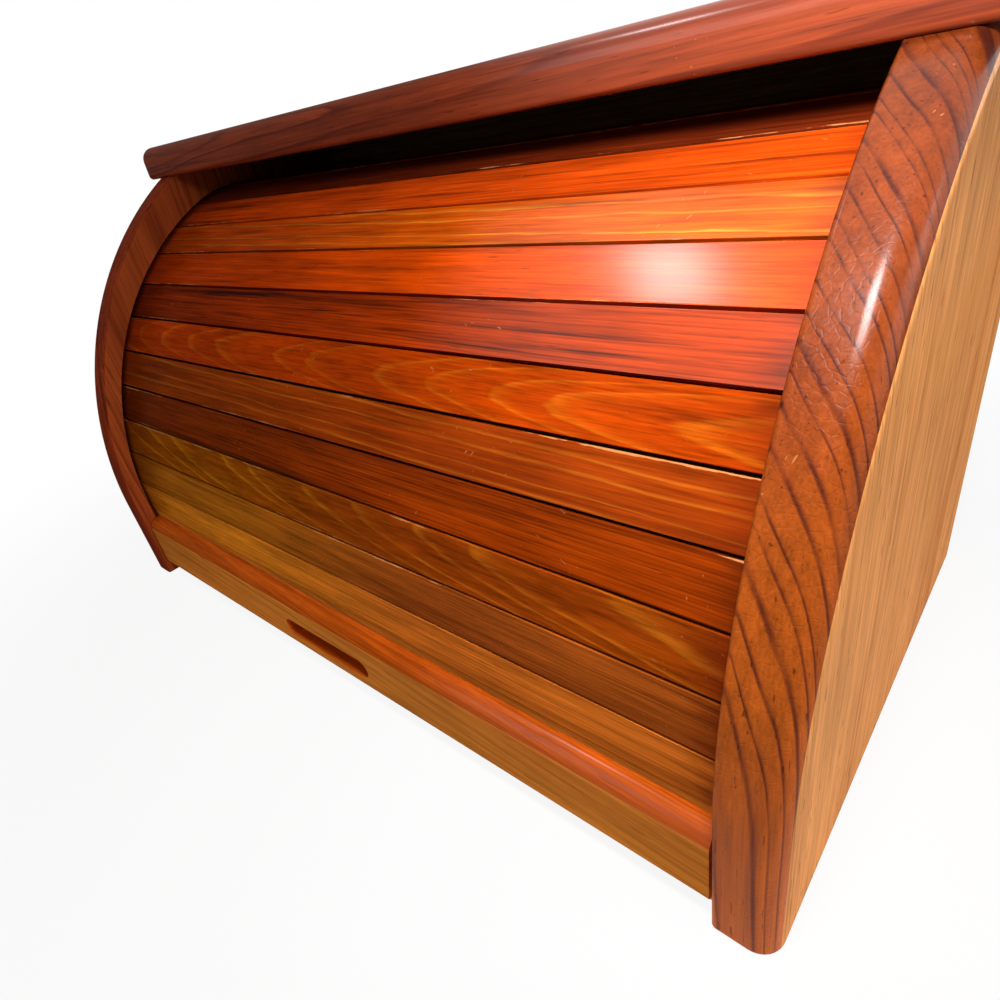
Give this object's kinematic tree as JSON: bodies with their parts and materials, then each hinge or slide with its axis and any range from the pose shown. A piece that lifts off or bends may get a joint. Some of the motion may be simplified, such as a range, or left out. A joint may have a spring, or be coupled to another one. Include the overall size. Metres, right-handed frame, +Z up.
{
  "type": "tambour lid box",
  "caption": "Wooden box with a roll-up slatted front that runs in grooves in two round-fronted sides, under an overhanging top board, with a finger slot in its lift rail.",
  "frame": {"origin": "on the table, under the middle of the box", "axes": "+X to the right along the front, -Y out of the front, +Z up"},
  "size_m": [0.424, 0.216, 0.231],
  "materials": {
    "pine": "gloss stain",
    "pine_dark": "gloss stain",
    "pine_plain": "satin",
    "canvas": "matt",
    "steel": "satin"
  },
  "bodies": {
    "case": {"side_panel_left": "pine", "side_panel_right": "pine", "top_board": "pine_dark", "bottom_board": "pine_plain", "back_panel": "pine_plain", "top_dowels": "pine_plain", "back_screws": "steel"},
    "rail": {"lift_rail": "pine", "slat_01": "pine", "canvas_01": "canvas"},
    "link_02": {"slat_02": "pine", "canvas_02": "canvas"},
    "link_03": {"slat_03": "pine", "canvas_03": "canvas"},
    "link_04": {"slat_04": "pine", "canvas_04": "canvas"},
    "link_05": {"slat_05": "pine", "canvas_05": "canvas"},
    "link_06": {"slat_06": "pine", "canvas_06": "canvas"},
    "link_07": {"slat_07": "pine", "canvas_07": "canvas"},
    "link_08": {"slat_08": "pine", "canvas_08": "canvas"},
    "link_09": {"slat_09": "pine", "canvas_09": "canvas"},
    "link_10": {"slat_10": "pine", "canvas_10": "canvas"},
    "link_11": {"slat_11": "pine", "canvas_11": "canvas"},
    "link_12": {"slat_12": "pine", "canvas_12": "canvas"},
    "link_13": {"slat_13": "pine", "canvas_13": "canvas"},
    "link_14": {"slat_14": "pine", "canvas_14": "canvas"}
  },
  "joints": [
    {"name": "roll", "type": "hinge", "parent": "case", "child": "rail", "pos_m": [0, 0.064, 0.05], "axis": [-1, 0, 0], "range_deg": [0, 64]},
    {"name": "roll_02", "type": "hinge", "parent": "case", "child": "link_02", "pos_m": [0, 0.051, 0.05952], "axis": [-1, 0, 0], "range_deg": [0, 70.83], "deforming": ["slat_02", "canvas_02"]},
    {"name": "roll_03", "type": "hinge", "parent": "case", "child": "link_03", "pos_m": [0, 0.0373, 0.07273], "axis": [-1, 0, 0], "range_deg": [0, 80.77], "deforming": ["slat_03", "canvas_03"]},
    {"name": "roll_04", "type": "hinge", "parent": "case", "child": "link_04", "pos_m": [0, 0.02801, 0.0848], "axis": [-1, 0, 0], "range_deg": [0, 90.71], "deforming": ["slat_04", "canvas_04"]},
    {"name": "roll_05", "type": "hinge", "parent": "case", "child": "link_05", "pos_m": [0, 0.02214, 0.09578], "axis": [-1, 0, 0], "range_deg": [0, 100.65], "deforming": ["slat_05", "canvas_05"]},
    {"name": "roll_06", "type": "hinge", "parent": "case", "child": "link_06", "pos_m": [0, 0.01901, 0.10568], "axis": [-1, 0, 0], "range_deg": [0, 110.58], "deforming": ["slat_06", "canvas_06"]},
    {"name": "roll_07", "type": "hinge", "parent": "case", "child": "link_07", "pos_m": [0, 0.0181, 0.11443], "axis": [-1, 0, 0], "range_deg": [0, 120.52], "deforming": ["slat_07", "canvas_07"]},
    {"name": "roll_08", "type": "hinge", "parent": "case", "child": "link_08", "pos_m": [0, 0.01886, 0.12059], "axis": [-1, 0, 0], "range_deg": [0, 128.58], "deforming": ["slat_08", "canvas_08"]},
    {"name": "roll_09", "type": "hinge", "parent": "case", "child": "link_09", "pos_m": [0, 0.01767, 0.11753], "axis": [-1, 0, 0], "range_deg": [0, 124.05], "deforming": ["slat_09", "canvas_09"]},
    {"name": "roll_10", "type": "hinge", "parent": "case", "child": "link_10", "pos_m": [0, 0.0146, 0.11324], "axis": [-1, 0, 0], "range_deg": [0, 117.17], "deforming": ["slat_10", "canvas_10"]},
    {"name": "roll_11", "type": "hinge", "parent": "case", "child": "link_11", "pos_m": [0, 0.00745, 0.10701], "axis": [-1, 0, 0], "range_deg": [0, 106.46], "deforming": ["slat_11", "canvas_11"]},
    {"name": "roll_12", "type": "hinge", "parent": "case", "child": "link_12", "pos_m": [0, -0.00914, 0.09756], "axis": [-1, 0, 0], "range_deg": [0, 89.72], "deforming": ["slat_12", "canvas_12"]},
    {"name": "roll_13", "type": "hinge", "parent": "case", "child": "link_13", "pos_m": [0, -0.03487, 0.08805], "axis": [-1, 0, 0], "range_deg": [0, 72.9], "deforming": ["slat_13", "canvas_13"]},
    {"name": "roll_14", "type": "hinge", "parent": "case", "child": "link_14", "pos_m": [0, -0.07693, 0.07848], "axis": [-1, 0, 0], "range_deg": [0, 56.09], "deforming": ["slat_14", "canvas_14"]}
  ],
  "couplings": [
    {"joint": "roll_02", "follows": "roll", "ratio": 1.1068},
    {"joint": "roll_03", "follows": "roll", "ratio": 1.262},
    {"joint": "roll_04", "follows": "roll", "ratio": 1.4173},
    {"joint": "roll_05", "follows": "roll", "ratio": 1.5726},
    {"joint": "roll_06", "follows": "roll", "ratio": 1.7278},
    {"joint": "roll_07", "follows": "roll", "ratio": 1.8831},
    {"joint": "roll_08", "follows": "roll", "ratio": 2.0091},
    {"joint": "roll_09", "follows": "roll", "ratio": 1.9382},
    {"joint": "roll_10", "follows": "roll", "ratio": 1.8308},
    {"joint": "roll_11", "follows": "roll", "ratio": 1.6634},
    {"joint": "roll_12", "follows": "roll", "ratio": 1.4018},
    {"joint": "roll_13", "follows": "roll", "ratio": 1.1391},
    {"joint": "roll_14", "follows": "roll", "ratio": 0.87641}
  ]
}
